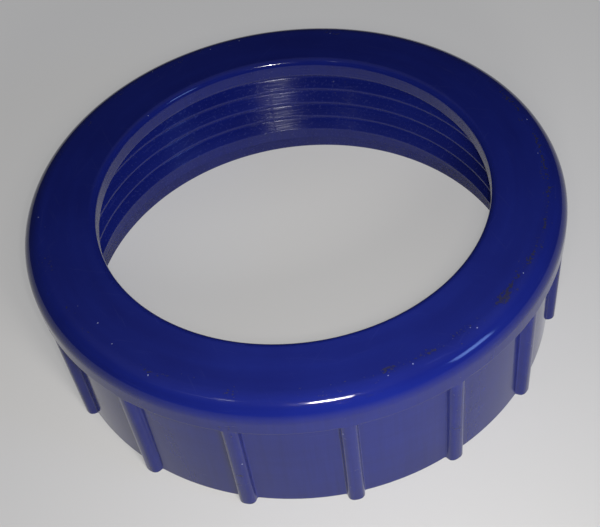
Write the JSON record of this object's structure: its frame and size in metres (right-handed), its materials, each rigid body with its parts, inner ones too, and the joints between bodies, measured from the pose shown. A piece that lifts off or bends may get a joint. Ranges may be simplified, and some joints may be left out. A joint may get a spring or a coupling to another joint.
{
  "type": "threaded lock ring for a sand filter tank",
  "caption": "Ribbed screw-down collar with an inward lip and a coarse internal thread, for clamping a valve flange onto the neck of a sand filter tank.",
  "frame": {"origin": "centre of the open lower rim, on the plane the ring rests on", "axes": "+Z along the thread's axis, from the open threaded end towards the lip; a grip rib lies on each of +X, -X, +Y and -Y"},
  "size_m": [0.208, 0.208, 0.062],
  "materials": {
    "moulded_blue_plastic": "glossy injection-moulded blue plastic, lightly scuffed and dusty along the crown"
  },
  "bodies": {
    "root": {"lock_ring": "moulded_blue_plastic"}
  },
  "joints": []
}
